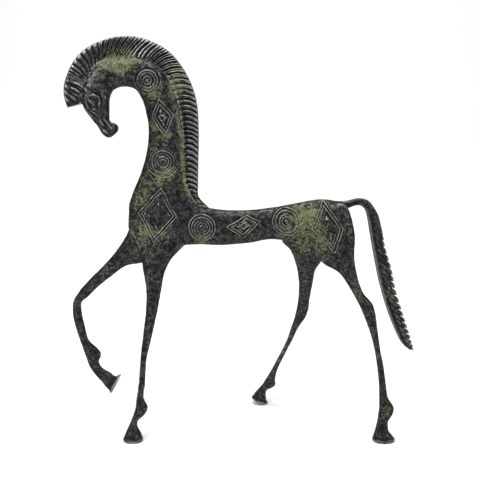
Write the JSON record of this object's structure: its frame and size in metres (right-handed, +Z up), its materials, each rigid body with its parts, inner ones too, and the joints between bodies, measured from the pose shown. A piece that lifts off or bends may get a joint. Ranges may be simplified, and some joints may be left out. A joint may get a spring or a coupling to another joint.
{
  "type": "horse sculpture",
  "caption": "Slim cast bronze horse with an arched neck, a combed mane, a barbed tail, a raised foreleg, and rings and lozenges in low relief.",
  "frame": {"origin": "centre of the bounding box in plan, on the ground the hooves stand on", "axes": "-X is the way the horse faces, -Y is its left side, which the picture shows, and +Z is up"},
  "size_m": [0.2504, 0.0762, 0.28],
  "materials": {
    "bronze": "dark patinated bronze, satin, with olive-green verdigris in the grooves"
  },
  "bodies": {
    "root": {"horse": "bronze"}
  },
  "joints": []
}
